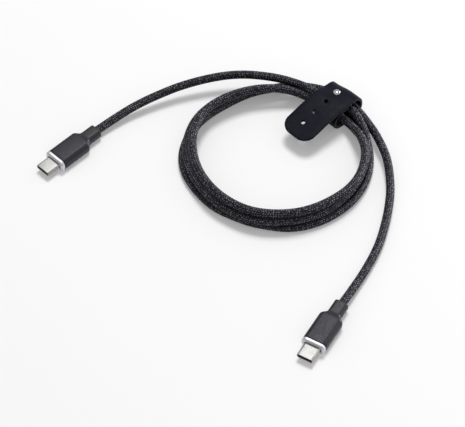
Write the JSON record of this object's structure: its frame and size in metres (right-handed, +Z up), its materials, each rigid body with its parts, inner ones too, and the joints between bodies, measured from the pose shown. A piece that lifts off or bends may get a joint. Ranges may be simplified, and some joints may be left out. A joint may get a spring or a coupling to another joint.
{
  "type": "charging cable",
  "caption": "Braided charging cable with a flat oval plug at each end, wound in round turns and held by a strap that fastens on a stud.",
  "frame": {"origin": "under the middle of the whole cable's bounding box, on the surface it lies on", "axes": "+Z up from that surface; +X towards the side where the cord leaves the coil for plug b; -Y towards plug b"},
  "size_m": [0.172, 0.1709, 0.0144],
  "materials": {
    "plug_nickel": "satin nickel plate",
    "mouth_plastic": "moulded",
    "contact_gold": "gold flash",
    "spring_steel": "stamped",
    "card_green": "solder mask",
    "chip_black": "moulded",
    "tinned_steel": "tinned",
    "conductor_red": "extruded insulation",
    "mould_black": "moulded",
    "ring_aluminium": "satin, bright bevel",
    "housing_charcoal": "fine matt texture",
    "relief_charcoal": "matt",
    "cord_braid": "two-tone woven braid",
    "strap_navy": "smooth, matt",
    "stud_chrome": "polished"
  },
  "bodies": {
    "cable": {"shell_a": "plug_nickel", "shell_b": "plug_nickel", "mouth_liner_a": "mouth_plastic", "mouth_liner_b": "mouth_plastic", "contacts_upper_a": "contact_gold", "contacts_upper_b": "contact_gold", "contacts_lower_a": "contact_gold", "contacts_lower_b": "contact_gold", "latch_spring_a": "spring_steel", "latch_spring_b": "spring_steel", "ground_springs_a": "spring_steel", "ground_springs_b": "spring_steel", "circuit_card_a": "card_green", "circuit_card_b": "card_green", "marker_chip_a": "chip_black", "shield_can_top_a": "tinned_steel", "shield_can_top_b": "tinned_steel", "shield_can_bottom_a": "tinned_steel", "shield_can_bottom_b": "tinned_steel", "crimp_ferrule_a": "tinned_steel", "crimp_ferrule_b": "tinned_steel", "conductors_a": "conductor_red", "conductors_b": "conductor_red", "inner_mould_a": "mould_black", "inner_mould_b": "mould_black", "trim_ring_a": "ring_aluminium", "trim_ring_b": "ring_aluminium", "housing_a": "housing_charcoal", "housing_b": "housing_charcoal", "strain_relief_a": "relief_charcoal", "strain_relief_b": "relief_charcoal", "cord_tail_a": "cord_braid", "cord_tail_b": "cord_braid", "cord_coil": "cord_braid", "strap_wrap": "strap_navy", "strap_stud": "stud_chrome", "stud_washer": "stud_chrome"},
    "strap_end": {"strap_flap": "strap_navy"}
  },
  "joints": [
    {"name": "strap_lift", "type": "hinge", "parent": "cable", "child": "strap_end", "pos_m": [0.06268, 0.07068, 0.01195], "axis": [-0.7071, 0.7071, 0], "range_deg": [0, 110]}
  ]
}
